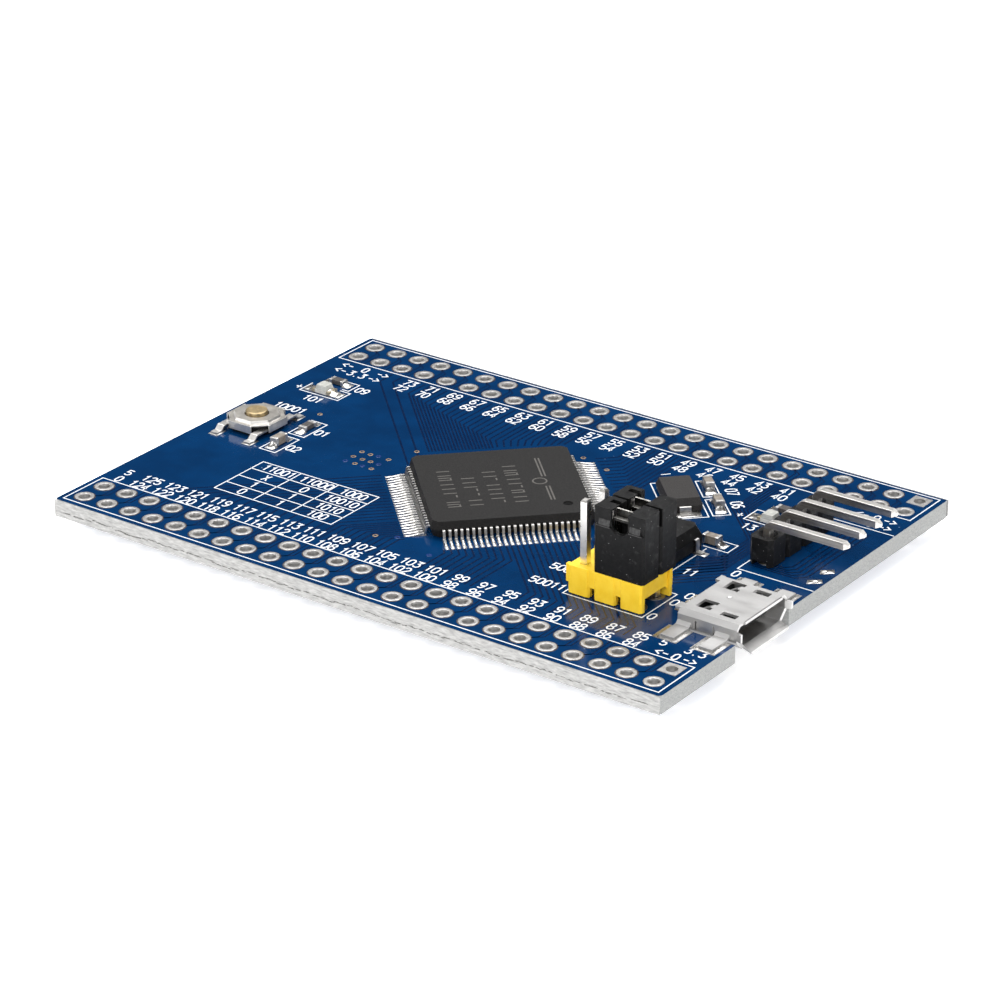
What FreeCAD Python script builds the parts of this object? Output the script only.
"""A microcontroller development board, in millimetres.

The board is 62 x 44.2 x 1.6 mm with two double rows of 24 plated header holes on a 2.54 mm grid.
It carries a 100-lead controller turned by 45 degrees, a micro USB socket sunk in a notch, a right-angle
debug header, a 2 x 3 boot header with two jumper caps, two crystals, a reset switch, two lights and
small chip parts. A voltage regulator and more chip parts sit on the underside.

Frame: origin at the middle of the board on its underside, +X towards the USB socket, +Y towards the far
header, +Z up. Every sub-part is written to parts/NODE.step.
"""

import FreeCAD, Part
import math
import os
from FreeCAD import Placement, Rotation, Vector

# ---- driving dimensions -------------------------------------------------------------------------

PITCH = 2.54  # standard header pitch
COLUMNS = 24  # holes in one header row
BOARD_X = 62.0
BOARD_Y = 44.2
BOARD_T = 1.6  # the board's thickness
EDGE_BEVEL = 0.18  # what is left of the score line along the two long edges
CORNER = 0.35  # rounding of the board's corners
TOP = BOARD_T  # height of the board's top face

HEADER_Y_INNER = 17.78  # inner hole row of each long header
HEADER_Y_OUTER = HEADER_Y_INNER + PITCH
HOLE_R = 0.50  # finished radius of a plated hole
BARREL_R = 0.55  # drilled radius
RING_R = 0.85  # outer radius of a plated hole's ring
PAD_T = 0.04  # height of copper and tin above the bare board
SEAT = PAD_T + 0.01  # gap between the board and the insulators that stand on its rings

NOTCH_X = 25.1  # inner end of the notch for the USB socket
NOTCH_Y0 = -11.46
NOTCH_Y1 = -3.48

PIN = 0.64  # side of a square header pin
TAIL = 1.4  # length of a header pin under the board
PIN_TIP = 0.2  # length of a pin's tapered tip

MCU_SIDE = 14.0
MCU_HEIGHT = 1.4
MCU_STANDOFF = 0.1
MCU_LEADS = 25  # on each side
MCU_LEAD_PITCH = 0.5
MCU_LEAD_W = 0.22
MCU_LEAD_T = 0.14
MCU_SPAN = 16.0  # over the feet of opposite leads
MCU_TURN = 45.0  # degrees

BOOT_X = 18.42  # middle of the boot header
BOOT_Y = -9.11
BOOT_BLOCK_H = 2.54
BOOT_BLOCK_Y = 4.65  # depth of the insulator over both rows
BOOT_CELL_X = 2.14  # width of one moulded cell, narrower than the pitch
BOOT_PIN_H = 5.66  # pin above the insulator
JUMPER_X = 4.85
JUMPER_Y = 2.4
JUMPER_H = 5.81

DEBUG_X = 24.9  # row of the debug header's pins
DEBUG_Y = 6.75  # middle of that row
DEBUG_PINS = 4
DEBUG_BLOCK_X = 2.24
DEBUG_BLOCK_H = 2.5
DEBUG_PIN_Z = 3.45  # height of the pins' level run above the board
DEBUG_TIP_X = 32.6
DEBUG_POINT = 0.4  # length of these pins' pointed ends

USB_Y = -7.47
USB_BACK_X = 25.34
USB_FRONT_X = 30.9
USB_W = 7.4
USB_TOP_Z = TOP + 1.5
USB_H = 2.3
SHEET = 0.25  # thickness of the socket's sheet metal
USB_TABS_X = (26.0, 29.6)  # solder tabs on each side of the socket
USB_TAB_W = 1.3
USB_LATCH_X = 26.9  # middle of the two latch windows
USB_LATCH_Y = (-9.2, -5.2)

SWITCH_X = -26.8
SWITCH_Y = 0.0
SWITCH_HALF = 2.45  # half the width of the metal cover
BUTTON_R = 1.0
BUTTON_TRAVEL = 0.25
BUTTON_TOP = 1.56  # top of the button above the board

CRYSTAL8_X = 12.44
CRYSTAL8_Y = 8.6
CRYSTAL32_X = 17.3
CRYSTAL32_Y = -1.9

CHIP_L = 1.6  # length of a chip resistor or capacitor
CHIP_W = 0.8
CHIP_CAP = 0.32  # length of each metal end
RESISTOR_H = 0.45
CAPACITOR_H = 0.8


# ---- small helpers ------------------------------------------------------------------------------


def box(x0, x1, y0, y1, z0, z1):
    return Part.makeBox(x1 - x0, y1 - y0, z1 - z0, Vector(x0, y0, z0))


def block(cx, cy, lx, ly, z0, z1):
    """A box centred on (cx, cy)."""
    return box(cx - lx / 2, cx + lx / 2, cy - ly / 2, cy + ly / 2, z0, z1)


def rod(x, y, z0, z1, r):
    return Part.makeCylinder(r, z1 - z0, Vector(x, y, z0))


def cone(x, y, z0, z1, r0, r1):
    return Part.makeCone(r0, r1, z1 - z0, Vector(x, y, z0))


def outline(points, z):
    """A closed wire through (x, y) points at height z."""
    corners = [Vector(x, y, z) for x, y in points]
    return Part.makePolygon(corners + corners[:1])


def prism(points, z0, z1):
    return Part.Face(outline(points, z0)).extrude(Vector(0, 0, z1 - z0))


def loft(points0, z0, points1, z1):
    """A straight-sided solid between two outlines with the same number of corners."""
    return Part.makeLoft([outline(points0, z0), outline(points1, z1)], True, True)


def cut_square(cx, cy, lx, ly, cut):
    """Corners of a rectangle with its corners cut off at 45 degrees."""
    hx, hy = lx / 2, ly / 2
    quarter = [(hx, hy - cut), (hx - cut, hy)]
    points = quarter + [(-x, y) for x, y in reversed(quarter)]
    points += [(-x, -y) for x, y in quarter] + [(x, -y) for x, y in reversed(quarter)]
    return [(cx + x, cy + y) for x, y in points]


def fuse(solids):
    whole = solids[0].multiFuse(solids[1:]) if len(solids) > 1 else solids[0]
    return whole.removeSplitter()


def cut(solid, tools):
    return solid.cut(Part.makeCompound(tools))


def group(solids):
    """Separate solids kept in one node."""
    return Part.makeCompound(solids)


def place(shape, x=0.0, y=0.0, z=0.0, turn=0.0):
    """A copy of the shape, turned about Z by turn degrees and then moved."""
    moved = shape.copy()
    moved.Placement = Placement(Vector(x, y, z), Rotation(Vector(0, 0, 1), turn))
    return moved


def strip(path, thickness, width, bend):
    """A bent strip of sheet: path is a list of (x, z), the width lies along Y, centred on y = 0."""
    ends = list(zip(path, path[1:]))
    lengths = [math.hypot(b[0] - a[0], b[1] - a[1]) for a, b in ends]
    ways = [((b[0] - a[0]) / n, (b[1] - a[1]) / n) for (a, b), n in zip(ends, lengths)]
    normals = [(-dz, dx) for dx, dz in ways]
    y = -width / 2

    def at(point, normal, distance):
        return Vector(point[0] + normal[0] * distance, y, point[1] + normal[1] * distance)

    edges = []
    for side in (1, -1):
        here = at(path[0], normals[0], side * thickness / 2)
        for corner, a, b, na, nb in zip(path[1:-1], ways, ways[1:], normals, normals[1:]):
            cross = a[0] * b[1] - a[1] * b[0]
            inward = 1 if cross > 0 else -1
            half = math.acos(max(-1.0, min(1.0, a[0] * b[0] + a[1] * b[1]))) / 2
            back = bend * math.tan(half)
            start = (corner[0] - a[0] * back, corner[1] - a[1] * back)
            centre = (start[0] + inward * na[0] * bend, start[1] + inward * na[1] * bend)
            radius = -inward * bend + side * thickness / 2
            middle = (na[0] + nb[0], na[1] + nb[1])
            length = math.hypot(*middle)
            middle = (middle[0] / length, middle[1] / length)
            first, last = at(centre, na, radius), at(centre, nb, radius)
            edges.append(Part.makeLine(here, first))
            edges.append(Part.Arc(first, at(centre, middle, radius), last).toShape())
            here = last
        edges.append(Part.makeLine(here, at(path[-1], normals[-1], side * thickness / 2)))
    for point, normal in ((path[0], normals[0]), (path[-1], normals[-1])):
        edges.append(Part.makeLine(at(point, normal, thickness / 2), at(point, normal, -thickness / 2)))
    face = Part.Face(Part.Wire(Part.__sortEdges__(edges)))
    return face.extrude(Vector(0, width, 0))


def write(name, shape):
    """Checks a node's solids and writes its STEP file."""
    solids = shape.Solids
    bad = [s for s in solids if not s.isValid() or s.Volume <= 0]
    if bad or not solids:
        raise ValueError(f"{name}: {len(bad)} bad solids of {len(solids)}")
    kept = solids[0] if len(solids) == 1 else Part.makeCompound(solids)
    kept.exportStep(f"parts/{name}.step")
    b = kept.BoundBox
    print(f"{name:32s} {len(solids):4d} solids  z {b.ZMin:6.2f} to {b.ZMax:6.2f}")


# ---- places that several parts share ------------------------------------------------------------

COLUMN_X = [PITCH * (i - (COLUMNS - 1) / 2) for i in range(COLUMNS)]
BOOT_COLUMNS = [BOOT_X + PITCH * i for i in (-1, 0, 1)]
BOOT_ROWS = [BOOT_Y - PITCH / 2, BOOT_Y + PITCH / 2]
BOOT_HOLES = [(x, y) for x in BOOT_COLUMNS for y in BOOT_ROWS]
DEBUG_HOLES = [(DEBUG_X, DEBUG_Y + PITCH * (i - (DEBUG_PINS - 1) / 2)) for i in range(DEBUG_PINS)]

# each chip part: its middle, and its turn about Z in degrees
TOP_RESISTORS = [(-22.7, 2.0, 90), (-26.7, 11.6, 0), (21.1, 11.8, 0)]
TOP_CAPACITORS = [(-22.7, -2.0, 90), (13.1, 12.2, -45), (15.8, 9.6, -45), (19.4, 3.1, 0)]
LIGHTS = {"power_led": (-26.6, 9.4), "user_led": (21.0, 9.6)}

# the underside, as seen through the board from above
UNDER_RESISTORS = [(21.5, -1.2, 90), (19.6, -1.2, 90), (11.2, -11.0, 0), (11.2, -8.6, 0)]
UNDER_CAPACITORS = [(-9.5, 3.0, 90), (0.0, 9.6, 0), (9.6, 1.5, 90), (2.2, -9.6, 0), (-6.8, -7.4, -45)]
REGULATOR_X = -19.5
REGULATOR_Y = -4.0


# ---- the board ----------------------------------------------------------------------------------


def board():
    hx, hy = BOARD_X / 2, BOARD_Y / 2
    plate = block(0, 0, BOARD_X, BOARD_Y, 0, BOARD_T)
    uprights = [e for e in plate.Edges if abs(e.BoundBox.ZLength - BOARD_T) < 1e-6]
    plate = plate.makeFillet(CORNER, uprights)
    bevel = outline([(0, 0), (EDGE_BEVEL, 0), (0, 2 * EDGE_BEVEL)], 0)
    bevel = Part.Face(bevel).extrude(Vector(0, 0, BOARD_X + 2))
    tools = []
    for spin, y, z in ((0, -hy, 0), (90, -hy, BOARD_T), (-90, hy, 0), (180, hy, BOARD_T)):
        tool = bevel.copy()
        about_z = Rotation(Vector(0, 1, 0), Vector(0, 0, 1), Vector(1, 0, 0), "XYZ")
        tool.Placement = Placement(Vector(-hx - 1, y, z), Rotation(Vector(1, 0, 0), spin).multiply(about_z))
        tools.append(tool)
    tools.append(box(NOTCH_X, hx + 1, NOTCH_Y0, NOTCH_Y1, -1, BOARD_T + 1))
    for y in (-HEADER_Y_OUTER, -HEADER_Y_INNER, HEADER_Y_INNER, HEADER_Y_OUTER):
        tools += [rod(x, y, -1, BOARD_T + 1, BARREL_R) for x in COLUMN_X]
    tools += [rod(x, y, -1, BOARD_T + 1, BARREL_R) for x, y in BOOT_HOLES + DEBUG_HOLES]
    return cut(plate, tools)


def plated_hole(x, y, square):
    """A tinned barrel with a ring on each face; the first hole of a header has square rings."""
    barrel = rod(x, y, -PAD_T, BOARD_T + PAD_T, BARREL_R)
    rings = []
    for z in (-PAD_T, BOARD_T):
        if square:
            rings.append(block(x, y, 2 * RING_R, 2 * RING_R, z, z + PAD_T))
        else:
            rings.append(rod(x, y, z, z + PAD_T, RING_R))
    return fuse([barrel] + rings).cut(rod(x, y, -1, BOARD_T + 1, HOLE_R))


def plated_holes(rows, square_at):
    """The 48 plated holes of one long header."""
    return group([plated_hole(x, y, (i, y) == square_at) for y in rows for i, x in enumerate(COLUMN_X)])


def small_header_holes():
    """Plated holes of the boot and debug headers."""
    return group([plated_hole(x, y, False) for x, y in BOOT_HOLES + DEBUG_HOLES])


def pad(x, y, lx, ly, turn=0.0):
    return place(block(0, 0, lx, ly, 0, PAD_T), x, y, TOP, turn)


def chip_pads(x, y, turn, gap=1.05, size=(0.8, 0.95)):
    a = math.radians(turn)
    return [pad(x + s * gap * math.cos(a), y + s * gap * math.sin(a), *size, turn) for s in (-1, 1)]


def surface_pads():
    """Tinned pads on the top face."""
    pads = []
    for side in range(4):
        for i in range(MCU_LEADS):
            offset = MCU_LEAD_PITCH * (i - (MCU_LEADS - 1) / 2)
            one = block(8.25, offset, 1.9, 0.3, 0, PAD_T)
            pads.append(place(one, 0, 0, TOP, MCU_TURN + 90 * side))
    for x, y, turn in TOP_RESISTORS + TOP_CAPACITORS:
        pads += chip_pads(x, y, turn)
    for x, y in LIGHTS.values():
        pads += chip_pads(x, y, 0, 1.45, (1.1, 1.2))
    for x in USB_TABS_X:
        pads += [pad(x - 0.1, USB_Y + side * 5.25, 2.3, 2.5) for side in (-1, 1)]
    pads += [pad(24.25, USB_Y + 0.65 * i, 1.3, 0.4) for i in (-2, -1, 0, 1, 2)]
    for sx in (-1, 1):
        pads += [pad(SWITCH_X + sx * 1.875, SWITCH_Y + sy * 3.3, 1.0, 1.3) for sy in (-1, 1)]
        pads += [pad(CRYSTAL32_X + sx * 2.4, CRYSTAL32_Y + sy * 2.75, 1.3, 0.75) for sy in (-1, 1)]
    pads += chip_pads(CRYSTAL8_X, CRYSTAL8_Y, -45, 2.95, (1.2, 2.6))
    return group(pads)


# ---- the controller -----------------------------------------------------------------------------


def mcu_body():
    z0 = TOP + MCU_STANDOFF
    mid = z0 + MCU_HEIGHT / 2
    narrow = cut_square(0, 0, MCU_SIDE - 0.34, MCU_SIDE - 0.34, 0.45)
    wide = cut_square(0, 0, MCU_SIDE, MCU_SIDE, 0.45)
    body = fuse([loft(narrow, z0, wide, mid), loft(wide, mid, narrow, z0 + MCU_HEIGHT)])
    dimple = rod(4.9, -4.9, z0 + MCU_HEIGHT - 0.12, z0 + MCU_HEIGHT + 1, 0.42)
    return place(body.cut(dimple), turn=MCU_TURN)


def mcu_leads():
    """100 gull-wing leads, each from the body's waist down to its pad."""
    waist = TOP + MCU_STANDOFF + MCU_HEIGHT / 2
    foot = TOP + PAD_T + MCU_LEAD_T / 2
    half = MCU_SPAN / 2
    path = [(MCU_SIDE / 2, waist), (half - 0.72, waist), (half - 0.56, foot), (half, foot)]
    lead = strip(path, MCU_LEAD_T, MCU_LEAD_W, 0.13)
    leads = []
    for side in range(4):
        for i in range(MCU_LEADS):
            along = MCU_LEAD_PITCH * (i - (MCU_LEADS - 1) / 2)
            turn = MCU_TURN + 90 * side
            a = math.radians(turn)
            leads.append(place(lead, -along * math.sin(a), along * math.cos(a), 0, turn))
    return group(leads)


# ---- the boot header and its jumpers ------------------------------------------------------------


def pin(x, y, z0, z1):
    """A square pin with a tapered tip at each end."""
    square = cut_square(x, y, PIN, PIN, 0.02)
    tip = cut_square(x, y, 0.4, 0.4, 0.01)
    shaft = prism(square, z0 + PIN_TIP, z1 - PIN_TIP)
    return fuse([shaft, loft(tip, z0, square, z0 + PIN_TIP), loft(square, z1 - PIN_TIP, tip, z1)])


def boot_header_insulator():
    """Three moulded cells joined by a web, each cell holding two pins over an arched channel."""
    z0, z1 = TOP + SEAT, TOP + BOOT_BLOCK_H
    hy = BOOT_BLOCK_Y / 2
    first, last = BOOT_COLUMNS[0] - BOOT_CELL_X / 2, BOOT_COLUMNS[-1] + BOOT_CELL_X / 2
    cells = [prism(cut_square(x, BOOT_Y, BOOT_CELL_X, BOOT_BLOCK_Y, 0.2), z0, z1) for x in BOOT_COLUMNS]
    web = box(first - 0.18, last, BOOT_Y - hy + 0.12, BOOT_Y + hy - 0.12, z0 + 0.9, z1)
    wall, rise, corner = 1.8, 0.95, 0.35
    arch = [(-wall, -1), (-wall, rise - corner), (corner - wall, rise)]
    arch += [(-y, z) for y, z in reversed(arch)]
    corners = [Vector(first - 1, BOOT_Y + y, z0 + z) for y, z in arch]
    channel = Part.Face(Part.makePolygon(corners + corners[:1])).extrude(Vector(last - first + 2, 0, 0))
    tools = [channel]
    for x in (first - 0.18, last):
        tools.append(block(x, BOOT_Y, 0.5, 2 * wall, z0 - 1, z1 + 1))
    tools += [block(x, y, PIN, PIN, z0 - 1, z1 + 1) for x, y in BOOT_HOLES]
    return cut(fuse(cells + [web]), tools)


def boot_header_pins():
    return group([pin(x, y, -TAIL, TOP + BOOT_BLOCK_H + BOOT_PIN_H) for x, y in BOOT_HOLES])


JUMPER_Z = TOP + BOOT_BLOCK_H  # a jumper cap stands on the insulator
JUMPER_MID = (BOOT_COLUMNS[1] + BOOT_COLUMNS[2]) / 2
CLIP_T = 0.18
CLIP_GAP = 0.035  # between a pin and the clip's plate
CLIP_Y = PIN / 2 + CLIP_GAP + CLIP_T / 2  # middle of a plate from the pins' row
CLIP_X = 3.7
HOLE_IN_CAP_R = 0.82  # round end of the mouth in a cap's near face
MOUTH_X = 1.62
STEP_BACK = 0.15
TONGUE_X = 1.56
JUMPER_NEAR = 0.95  # from the pins' line to a cap's near face
PIN_TOP = TOP + BOOT_BLOCK_H + BOOT_PIN_H
CAP_WALL = 0.5  # from the clip's shaft to the cap's end faces


def jumper_cap(row_y):
    """A cap over two pins: arms left and right, a mouth between them with a round end in the near face."""
    z0, z1 = JUMPER_Z, JUMPER_Z + JUMPER_H
    y0 = row_y - JUMPER_NEAR
    y1 = y0 + JUMPER_Y
    step_z = z1 - 1.57  # above this the near face is set back
    shaft_y = 2 * CLIP_Y + CLIP_T + 0.06
    mid_y = (y0 + y1) / 2
    body = prism(cut_square(JUMPER_MID, mid_y, JUMPER_X, JUMPER_Y, 0.2), z0, z1)
    tools = [block(JUMPER_MID, row_y, JUMPER_X - 2 * CAP_WALL, shaft_y, z0 - 1, PIN_TOP + 0.02)]
    tools.append(box(0, 40, y0 - 1, y0 + STEP_BACK, step_z, z1 + 1))
    tools.append(block(JUMPER_MID, mid_y, MOUTH_X, JUMPER_Y + 1, z1 - 1.1, z1 + 1))
    tools.append(box(JUMPER_MID - 1.8, JUMPER_MID, row_y + 0.42, y1 - 0.5, z1 - 1.2, z1 + 1))
    hole_z = z1 - 1.1
    hole_x = JUMPER_MID + 0.05
    tools.append(Part.makeCylinder(HOLE_IN_CAP_R, 1.2, Vector(hole_x, y0 - 0.2, hole_z), Vector(0, 1, 0)))
    rim_r = HOLE_IN_CAP_R + 0.12
    tools.append(Part.makeCone(rim_r, HOLE_IN_CAP_R - 0.05, 0.3, Vector(hole_x, y0 - 0.05, hole_z), Vector(0, 1, 0)))
    cap = cut(body, tools)
    slope = [(y0 + 0.02, step_z), (y0 + 0.06, step_z + 0.15), (y0 + 0.3, step_z + 0.7), (y0 + 0.3, step_z)]
    ramps = []
    for x0, x1 in ((-1.9, -0.95), (1.05, 2.1)):
        ramp = prism(slope, 0, x1 - x0)
        ramp.Placement = Placement(Vector(JUMPER_MID + x0, 0, 0), Rotation(Vector(1, 1, 1), 120))
        ramps.append(ramp)
    return fuse([cap] + ramps)


def jumper_clip(row_y):
    """Two spring plates, one each side of the pins, joined by a web; one runs up into the cap's mouth."""
    z0, z1 = JUMPER_Z + 0.5, JUMPER_Z + JUMPER_H - 1.3
    plates = [block(JUMPER_MID, row_y + side * CLIP_Y, CLIP_X, CLIP_T, z0, z1) for side in (-1, 1)]
    web = block(JUMPER_MID, row_y, CLIP_T, 2 * CLIP_Y, z0 + 0.6, z0 + 1.8)
    neck_y = row_y - CLIP_Y
    neck = block(JUMPER_MID, neck_y, TONGUE_X, CLIP_T, z0 + 1, z1 + 0.55)
    shelf = box(JUMPER_MID - TONGUE_X / 2, JUMPER_MID + TONGUE_X / 2, neck_y, row_y + 0.1, z1 + 0.4, z1 + 0.55)
    tongue = block(JUMPER_MID, row_y + 0.03, TONGUE_X, CLIP_T, z1 + 0.4, z1 + 1.2)
    clip = fuse(plates + [web, neck, shelf, tongue])
    window = block(JUMPER_MID, row_y, TONGUE_X - 0.3, 2, z1 - 1.4, z1 + 0.35)
    return cut(clip, [window])


# ---- the debug header ---------------------------------------------------------------------------


def debug_header_insulator():
    z0, z1 = TOP + SEAT, TOP + DEBUG_BLOCK_H
    cells = [prism(cut_square(x, y, DEBUG_BLOCK_X, PITCH, 0.35), z0, z1) for x, y in DEBUG_HOLES]
    body = fuse(cells)
    tools = []
    for x, y in DEBUG_HOLES:
        tools.append(block(x, y, PIN, PIN, z0 - 1, z1 + 1))
        tools.append(cone(x, y, z1 - 0.45, z1 + 0.05, 0.42, 0.85))
    length = PITCH * DEBUG_PINS
    tools.append(block(DEBUG_X, DEBUG_Y, 1.3, length + 1, z0 - 1, z0 + 0.4))
    return cut(body, tools)


def debug_header_pins():
    """Pins that come up through the board, turn, and point outwards over its edge."""
    level = TOP + DEBUG_PIN_Z
    path = [(DEBUG_X, -TAIL + DEBUG_POINT), (DEBUG_X, level), (DEBUG_TIP_X - DEBUG_POINT, level)]
    bar = strip(path, PIN, PIN, 0.62)
    square = [(-PIN / 2, -PIN / 2), (PIN / 2, -PIN / 2), (PIN / 2, PIN / 2), (-PIN / 2, PIN / 2)]
    tip = [(x * 0.45, y * 0.45) for x, y in square]
    point = loft(square, 0, tip, DEBUG_POINT)
    low = point.copy()
    low.Placement = Placement(Vector(DEBUG_X, 0, -TAIL + DEBUG_POINT), Rotation(Vector(1, 0, 0), 180))
    out = point.copy()
    out.Placement = Placement(Vector(DEBUG_TIP_X - DEBUG_POINT, 0, level), Rotation(Vector(0, 1, 0), 90))
    whole = fuse([bar, low, out])
    return group([place(whole, 0, y, 0) for x, y in DEBUG_HOLES])


# ---- the USB socket -----------------------------------------------------------------------------


def usb_profile(grow):
    """The socket's cross-section, wide at the top, as (y, z); grow is positive outwards."""
    hy = USB_W / 2 - SHEET + grow
    z1 = USB_TOP_Z - SHEET + grow
    z0 = USB_TOP_Z - USB_H + SHEET - grow
    slope = 0.8
    edge = 0.25 + grow * 0.6
    return [
        (-hy, z0 + slope),
        (-hy + slope, z0),
        (hy - slope, z0),
        (hy, z0 + slope),
        (hy, z1 - edge),
        (hy - edge, z1),
        (-hy + edge, z1),
        (-hy, z1 - edge),
    ]


def usb_prism(grow, x0, x1):
    corners = [Vector(x0, USB_Y + y, z) for y, z in usb_profile(grow)]
    return Part.Face(Part.makePolygon(corners + corners[:1])).extrude(Vector(x1 - x0, 0, 0))


def usb_flare(x0, x1, grow0, grow1):
    wires = []
    for x, grow in ((x0, grow0), (x1, grow1)):
        corners = [Vector(x, USB_Y + y, z) for y, z in usb_profile(grow)]
        wires.append(Part.makePolygon(corners + corners[:1]))
    return Part.makeLoft(wires, True, True)


def usb_shell():
    """A folded sheet tube with flared lips, two latch windows with a leaf in each, two slots and four tabs."""
    z1 = USB_TOP_Z
    flare, spread = 0.85, 0.32
    tube = usb_prism(SHEET, USB_BACK_X, USB_FRONT_X)
    lips = usb_flare(USB_FRONT_X, USB_FRONT_X + flare, SHEET, SHEET + spread)
    ears = [block(USB_BACK_X - 0.22, USB_Y + side * (USB_W / 2 - 0.75), 0.44, 0.9, z1 - SHEET, z1) for side in (-1, 1)]
    tabs = []
    side_y = USB_W / 2
    foot = TOP + PAD_T + SHEET / 2
    for x in USB_TABS_X:
        wall = side_y - SHEET / 2
        path = [(wall, z1 - 0.6), (wall, foot + 0.36), (wall + 0.36, foot), (6.2, foot)]
        tab = strip(path, SHEET - 0.01, USB_TAB_W, 0.14)
        tabs += [place(tab, x, USB_Y, 0, turn) for turn in (90, -90)]
    hollow = [usb_prism(0, USB_BACK_X + SHEET, USB_FRONT_X)]
    hollow.append(usb_flare(USB_FRONT_X, USB_FRONT_X + flare, 0, spread))
    shell = cut(fuse([tube, lips] + ears + tabs), hollow)
    tools = [block(USB_BACK_X, USB_Y, 0.6, 3.4, TOP - 0.1, TOP + 0.75)]
    for y in USB_LATCH_Y:
        tools.append(block(USB_LATCH_X, y, 1.4, 1.5, z1 - SHEET - 0.1, z1 + 1))
    tools.append(Part.makeSphere(0.45, Vector(27.65, -7.15, z1 + 0.38)))
    for y in (-9.85, -4.95):
        tools.append(block(29.35, y, 1.45, 0.65, z1 - SHEET - 0.1, z1 + 1))
    for x in (27.05, 28.75):
        tools.append(block(x, USB_Y, 0.16, USB_W + 0.4, z1 - 1.4, z1 - 0.65))
    lip_x0, lip_x1 = USB_FRONT_X + 0.02, USB_FRONT_X + flare + 1
    tools.append(box(lip_x0 + 0.2, lip_x1, USB_Y - 4, USB_Y + 4, z1 - 0.5, z1 + 1))
    for side in (-1, 1):
        y0, y1 = sorted((USB_Y + side * 2.75, USB_Y + side * 5))
        tools.append(box(lip_x0, lip_x1, y0, y1, z1 - USB_H - 1, z1 - USB_H + 1.0))
        tools.append(box(lip_x0, lip_x1, y0, y1, z1 - 0.6, z1 + 1))
        tools.append(box(lip_x0 + 0.5, lip_x1, y0, y1, z1 - USB_H, z1 + 1))
    front = USB_LATCH_X + 0.8
    level = z1 - 0.075
    leaf = strip([(front, level), (front - 0.35, level), (USB_LATCH_X - 0.45, z1 - 0.56)], 0.15, 0.6, 0.2)
    return fuse([cut(shell, tools)] + [place(leaf, 0, y, 0) for y in USB_LATCH_Y])


def usb_tongue():
    """The moulding that closes the back of the socket and carries the contacts."""
    z1 = USB_TOP_Z - SHEET - 0.02
    wall = usb_prism(-0.02, USB_BACK_X + SHEET, USB_BACK_X + SHEET + 0.55)
    tongue = block(USB_BACK_X + SHEET + 2.45, USB_Y, 4.1, 3.9, z1 - 1.05, z1 - 0.5)
    body = fuse([wall, tongue])
    slots = []
    for i in (-2, -1, 0, 1, 2):
        slots.append(block(USB_BACK_X + SHEET + 2.6, USB_Y + 0.65 * i, 3.2, 0.34, z1 - 1.2, z1 - 0.93))
        slots.append(block(USB_BACK_X + SHEET + 0.5, USB_Y + 0.65 * i, 1.2, 0.34, z1 - 1.2, z1 - 0.93))
    return cut(body, slots)


def usb_contacts():
    """Five contacts: a tail on the board, a riser, and a level blade under the tongue."""
    blade_z = USB_TOP_Z - SHEET - 0.02 - 0.93 - 0.08
    path = [(23.75, TOP + PAD_T + 0.08), (24.75, TOP + PAD_T + 0.08), (25.1, blade_z), (USB_BACK_X + 4.3, blade_z)]
    contact = strip(path, 0.15, 0.3, 0.1)
    return group([place(contact, 0, USB_Y + 0.65 * i, 0) for i in (-2, -1, 0, 1, 2)])


# ---- crystals -----------------------------------------------------------------------------------


def crystal_8mhz_body():
    """A moulded block with bevelled sides, turned by 45 degrees."""
    z0, waist, z1 = TOP + 0.1, TOP + 0.62, TOP + 1.27
    foot = cut_square(0, 0, 5.1, 2.95, 0.1)
    wide = cut_square(0, 0, 5.2, 3.1, 0.12)
    top = cut_square(0, 0, 4.5, 2.7, 0.12)
    body = fuse([loft(foot, z0, wide, waist), loft(wide, waist, top, z1)])
    return place(body, CRYSTAL8_X, CRYSTAL8_Y, 0, -45)


def crystal_8mhz_terminals():
    """A flat lead folded from each end of the block down and out onto its pad."""
    foot = TOP + PAD_T + 0.06
    lead = strip([(2.61, TOP + 0.6), (2.76, TOP + 0.6), (2.8, foot), (3.35, foot)], 0.1, 1.0, 0.07)
    return group([place(lead, CRYSTAL8_X, CRYSTAL8_Y, 0, turn) for turn in (-45, 135)])


def crystal_32khz_body():
    """A long black moulding with bevelled long sides and a half-round recess in each end."""
    z0, waist, z1 = TOP + 0.1, TOP + 1.2, TOP + 2.15
    foot = cut_square(0, 0, 3.7, 7.9, 0.25)
    wide = cut_square(0, 0, 3.8, 8.0, 0.25)
    top = cut_square(0, 0, 3.0, 7.6, 0.45)
    body = fuse([loft(foot, z0, wide, waist), loft(wide, waist, top, z1)])
    ends = []
    for side in (-1, 1):
        ends.append(Part.makeCylinder(0.55, 0.6, Vector(0, side * 4.0 - 0.3, waist + 0.2), Vector(0, 1, 0)))
        ends.append(block(0, side * 4.0, 1.1, 0.6, waist + 0.2, z1 + 1))
    return place(cut(body, ends), CRYSTAL32_X, CRYSTAL32_Y)


def crystal_32khz_leads():
    foot = TOP + PAD_T + 0.08
    path = [(1.89, TOP + 1.2), (2.08, TOP + 1.2), (2.08, foot), (2.7, foot)]
    lead = strip(path, 0.12, 0.5, 0.09)
    leads = []
    for turn in (0, 180):
        leads += [place(lead, CRYSTAL32_X, CRYSTAL32_Y + y, 0, turn) for y in (-2.75, 2.75)]
    return group(leads)


# ---- the reset switch ---------------------------------------------------------------------------

COVER_TOP = 1.24  # top of the cover above the board
COVER_T = 0.14
FLANGE_R = 1.45
FLANGE_Z = (0.62, 0.84)
CAVITY_FLOOR = 0.3


def octagon(half):
    return cut_square(0, 0, 2 * half, 2 * half, half * (2 - math.sqrt(2)))


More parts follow.
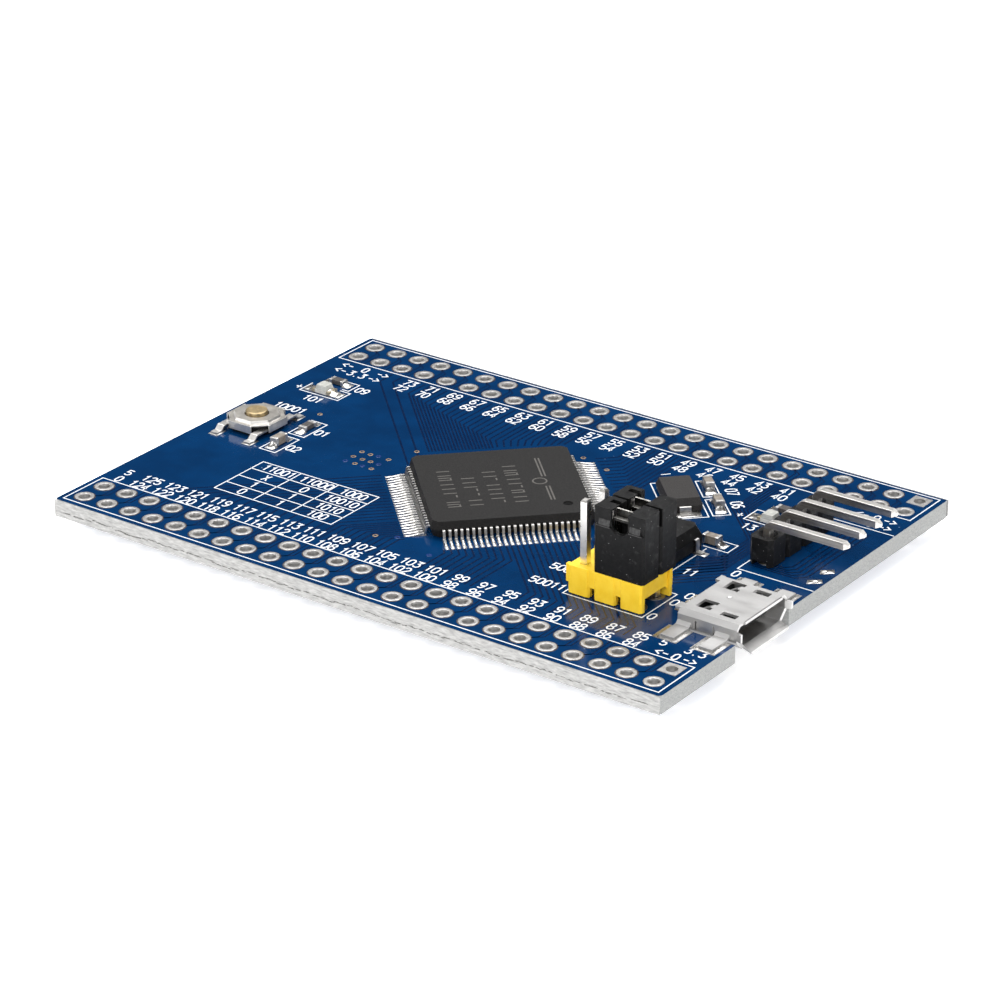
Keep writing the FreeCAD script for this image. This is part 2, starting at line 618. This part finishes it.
def reset_switch_base():
    body = prism(octagon(SWITCH_HALF - COVER_T - 0.03), 0.08, 0.78)
    body = body.cut(rod(0, 0, CAVITY_FLOOR, 2, FLANGE_R + 0.12))
    return place(body, SWITCH_X, SWITCH_Y, TOP)


def reset_switch_cover():
    """A pressed cover: an octagonal ledge, a raised middle with a hole, and four side flaps."""
    ledge_z = COVER_TOP - 0.2
    ledge = prism(octagon(SWITCH_HALF), ledge_z - COVER_T, ledge_z)
    raised = loft(octagon(2.05), ledge_z, octagon(1.9), COVER_TOP)
    flap_w = 2.0 * SWITCH_HALF * (math.sqrt(2) - 1) * 1.25
    flaps = []
    for side in (-1, 1):
        at = side * (SWITCH_HALF - COVER_T / 2)
        flaps.append(block(0, at, flap_w, COVER_T, 0.32, ledge_z))
        flaps.append(block(at, 0, COVER_T, flap_w, 0.32, ledge_z))
    body = fuse([ledge, raised] + flaps)
    hollow = loft(octagon(1.9), ledge_z - COVER_T - 0.01, octagon(1.78), COVER_TOP - COVER_T)
    return place(cut(body, [hollow, rod(0, 0, 0, 2, BUTTON_R + 0.08)]), SWITCH_X, SWITCH_Y, TOP)


def reset_button():
    """The round plunger, with a flange that the cover keeps in."""
    stem = rod(0, 0, FLANGE_Z[0], BUTTON_TOP, BUTTON_R)
    rim = [e for e in stem.Edges if abs(e.BoundBox.ZMin - BUTTON_TOP) < 1e-6 and e.Length > 1]
    stem = stem.makeFillet(0.12, rim)
    flange = rod(0, 0, FLANGE_Z[0], FLANGE_Z[1], FLANGE_R)
    return place(fuse([stem, flange]), SWITCH_X, SWITCH_Y, TOP)


def reset_snap_dome():
    """The sprung contact disc under the button, a shallow spherical shell."""
    rim, rise, thick = 1.4, 0.2, 0.06
    radius = (rim * rim + rise * rise) / (2 * rise)
    apex = FLANGE_Z[0] - 0.04
    outer = Part.makeSphere(radius, Vector(0, 0, apex - radius))
    inner = Part.makeSphere(radius - thick, Vector(0, 0, apex - radius))
    keep = rod(0, 0, apex - rise, 1, rim)
    return place(outer.cut(inner).common(keep), SWITCH_X, SWITCH_Y, TOP)


def reset_switch_terminals():
    """Four legs that leave the base at its cut corners and run down to their pads."""
    foot = TOP + PAD_T + 0.08
    bend_y = SWITCH_HALF + 0.25
    path = [(1.2, TOP + 0.5), (bend_y, TOP + 0.5), (bend_y + 0.4, foot), (3.8, foot)]
    leg = strip(path, 0.15, 0.75, 0.14)
    base = reset_switch_base()
    legs = []
    for x in (-1.875, 1.875):
        legs += [place(leg, SWITCH_X + x, SWITCH_Y, 0, turn).cut(base) for turn in (90, -90)]
    return group([solid for cut_leg in legs for solid in cut_leg.Solids])


# ---- lights and chip parts ----------------------------------------------------------------------


def led_base(x, y):
    return block(x, y, 1.3, 1.25, TOP + PAD_T, TOP + PAD_T + 0.3)


def led_lens(x, y):
    z = TOP + PAD_T + 0.3
    low = cut_square(x, y, 1.28, 1.2, 0.05)
    high = cut_square(x, y, 1.0, 1.1, 0.1)
    return loft(low, z, high, z + 0.48)


def led_terminals(x, y):
    ends = []
    for side in (-1, 1):
        end = block(x + side * 0.825, y, 0.35, 1.25, TOP + PAD_T, TOP + PAD_T + 0.3)
        ends.append(end.cut(rod(x + side * 1.05, y, TOP, TOP + 1, 0.22)))
    return ends


def chip_body(x, y, turn, height):
    """The ceramic middle of a chip part, between its metal ends."""
    middle = block(0, 0, CHIP_L - 2 * CHIP_CAP, CHIP_W - 0.04, PAD_T + 0.02, PAD_T + height - 0.02)
    return place(middle, x, y, TOP, turn)


def chip_ends(x, y, turn, height):
    ends = []
    for side in (-1, 1):
        end = block(side * (CHIP_L - CHIP_CAP) / 2, 0, CHIP_CAP, CHIP_W, PAD_T, PAD_T + height)
        outer = [e for e in end.Edges if side * e.CenterOfMass.x > CHIP_L / 2 - 0.01]
        ends.append(place(end.makeFillet(0.07, outer), x, y, TOP, turn))
    return ends


def under(shape):
    """A top-side shape moved to the same (x, y) on the underside."""
    moved = shape.mirror(Vector(0, 0, BOARD_T / 2), Vector(0, 0, 1))
    return moved


# ---- the underside ------------------------------------------------------------------------------


def regulator_body():
    """A small power package, long side along X."""
    z0, mid, z1 = TOP + 0.08, TOP + 0.8, TOP + 1.5
    narrow = cut_square(0, 0, 6.2, 3.2, 0.1)
    wide = cut_square(0, 0, 6.5, 3.5, 0.1)
    body = fuse([loft(narrow, z0, wide, mid), loft(wide, mid, narrow, z1)])
    return under(place(body, REGULATOR_X, REGULATOR_Y))


def regulator_leads():
    foot = TOP + PAD_T + 0.13
    path = [(1.75, TOP + 0.8), (2.25, TOP + 0.8), (2.65, foot), (3.4, foot)]
    leads = [place(strip(path, 0.25, 0.7, 0.2), REGULATOR_X + x, REGULATOR_Y, 0, -90) for x in (-2.3, 0, 2.3)]
    leads.append(place(strip(path, 0.25, 3.0, 0.2), REGULATOR_X, REGULATOR_Y, 0, 90))
    return group([under(lead) for lead in leads])


def underside_pads():
    pads = []
    for x, y, turn in UNDER_RESISTORS + UNDER_CAPACITORS:
        pads += chip_pads(x, y, turn)
    pads += [pad(REGULATOR_X + x, REGULATOR_Y - 3.1, 1.1, 1.6) for x in (-2.3, 0, 2.3)]
    pads.append(pad(REGULATOR_X, REGULATOR_Y + 3.1, 3.4, 1.6))
    return group([under(p) for p in pads])


def solder_joint(x, y):
    """The cone of solder round a pin's tail, on the underside."""
    joint = cone(x, y, -0.75, -PAD_T, 0.4, 0.8)
    return joint.cut(block(x, y, PIN, PIN, -2, 1))


def solder_joints():
    return group([solder_joint(x, y) for x, y in BOOT_HOLES + DEBUG_HOLES])


# ---- every node ---------------------------------------------------------------------------------


def chips(places, height, make):
    parts = [make(x, y, turn, height) for x, y, turn in places]
    return [solid for part in parts for solid in (part if isinstance(part, list) else [part])]


def main():
    os.makedirs("parts", exist_ok=True)
    near = (-HEADER_Y_OUTER, -HEADER_Y_INNER)
    far = (HEADER_Y_INNER, HEADER_Y_OUTER)
    write("pcb", board())
    write("plated_holes_near", plated_holes(near, (COLUMNS - 1, -HEADER_Y_INNER)))
    write("plated_holes_far", plated_holes(far, (COLUMNS - 1, HEADER_Y_OUTER)))
    write("plated_holes_small_headers", small_header_holes())
    write("surface_pads", surface_pads())
    write("mcu_body", mcu_body())
    write("mcu_leads", mcu_leads())
    write("boot_header_insulator", boot_header_insulator())
    write("boot_header_pins", boot_header_pins())
    for name, row in zip(("boot0_jumper", "boot1_jumper"), BOOT_ROWS):
        write(name + "_cap", jumper_cap(row))
        write(name + "_clip", jumper_clip(row))
    write("debug_header_insulator", debug_header_insulator())
    write("debug_header_pins", debug_header_pins())
    write("usb_shell", usb_shell())
    write("usb_tongue", usb_tongue())
    write("usb_contacts", usb_contacts())
    write("crystal_8mhz_body", crystal_8mhz_body())
    write("crystal_8mhz_terminals", crystal_8mhz_terminals())
    write("crystal_32khz_body", crystal_32khz_body())
    write("crystal_32khz_leads", crystal_32khz_leads())
    write("reset_switch_base", reset_switch_base())
    write("reset_switch_cover", reset_switch_cover())
    write("reset_switch_terminals", reset_switch_terminals())
    write("reset_snap_dome", reset_snap_dome())
    write("reset_button", reset_button())
    for name, (x, y) in LIGHTS.items():
        write(name + "_base", led_base(x, y))
        write(name + "_lens", led_lens(x, y))
        write(name + "_terminals", group(led_terminals(x, y)))
    write("resistor_bodies", group(chips(TOP_RESISTORS, RESISTOR_H, chip_body)))
    write("resistor_ends", group(chips(TOP_RESISTORS, RESISTOR_H, chip_ends)))
    write("capacitor_bodies", group(chips(TOP_CAPACITORS, CAPACITOR_H, chip_body)))
    write("capacitor_ends", group(chips(TOP_CAPACITORS, CAPACITOR_H, chip_ends)))
    write("regulator_body", regulator_body())
    write("regulator_leads", regulator_leads())
    for name, places, height in (
        ("underside_resistor", UNDER_RESISTORS, RESISTOR_H),
        ("underside_capacitor", UNDER_CAPACITORS, CAPACITOR_H),
    ):
        write(name + "_bodies", group([under(s) for s in chips(places, height, chip_body)]))
        write(name + "_ends", group([under(s) for s in chips(places, height, chip_ends)]))
    write("underside_pads", underside_pads())
    write("solder_joints", solder_joints())


main()
